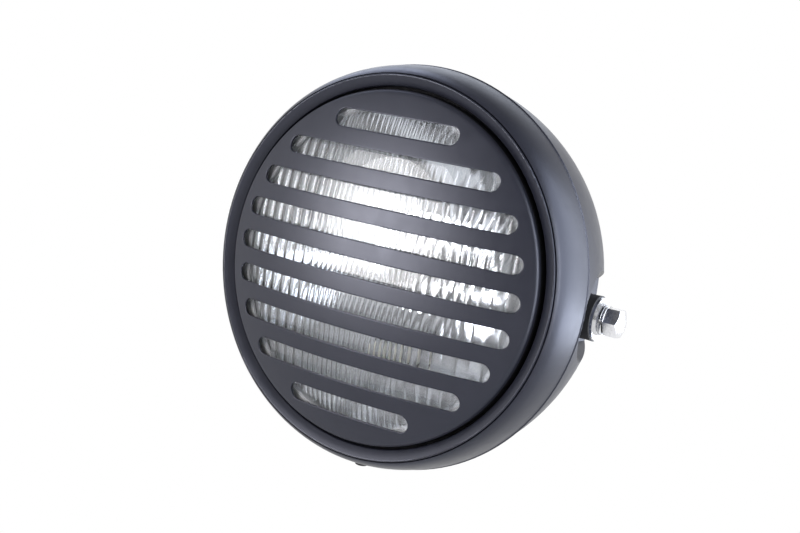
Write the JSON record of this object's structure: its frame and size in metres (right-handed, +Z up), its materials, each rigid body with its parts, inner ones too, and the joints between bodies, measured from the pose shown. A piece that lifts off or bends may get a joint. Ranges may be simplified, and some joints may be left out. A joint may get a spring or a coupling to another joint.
{
  "type": "motorcycle headlight",
  "caption": "Round black motorcycle headlight with a slotted domed grille over a fluted glass lens, a pressed trim ring, a bowl-shaped bucket and rubber-bushed side bolts.",
  "frame": {"origin": "on the side bolts' axis, midway between the two bolts", "axes": "+X along the side bolts to the right as seen from the front, -Y the way the lamp faces, +Z up"},
  "size_m": [0.2172, 0.1408, 0.1999],
  "materials": {
    "bucket": "satin black paint",
    "trim_ring": "satin black paint",
    "grille_plate": "satin black paint",
    "lens": "clear fluted glass",
    "reflector": "bright vacuum plated",
    "plated_steel": "zinc plated",
    "bright_steel": "bright plated",
    "bulb_glass": "clear glass",
    "bulb_base": "moulded",
    "bulb_contacts": "plain",
    "seal_rubber": "matt",
    "bush_rubber": "matt"
  },
  "bodies": {
    "root": {"bucket": "bucket", "trim_ring": "trim_ring", "grille_plate": "grille_plate", "lens": "lens", "lens_gasket": "seal_rubber", "reflector": "reflector", "retaining_ring": "plated_steel", "retaining_screws": "plated_steel", "bulb_collar": "plated_steel", "bulb_flange": "plated_steel", "bulb_glass": "bulb_glass", "bulb_base": "bulb_base", "bulb_contacts": "bulb_contacts", "bulb_clip": "plated_steel", "bulb_boot": "seal_rubber", "pilot_holder": "seal_rubber", "pilot_bulb": "bulb_glass", "ring_screw": "plated_steel", "ring_nut": "plated_steel", "cable_grommet": "seal_rubber", "mount_bushes": "bush_rubber", "wide_washers": "bright_steel", "plain_washers": "bright_steel", "spring_washers": "bright_steel", "mount_bolts": "bright_steel", "mount_nuts": "bright_steel"}
  },
  "joints": []
}
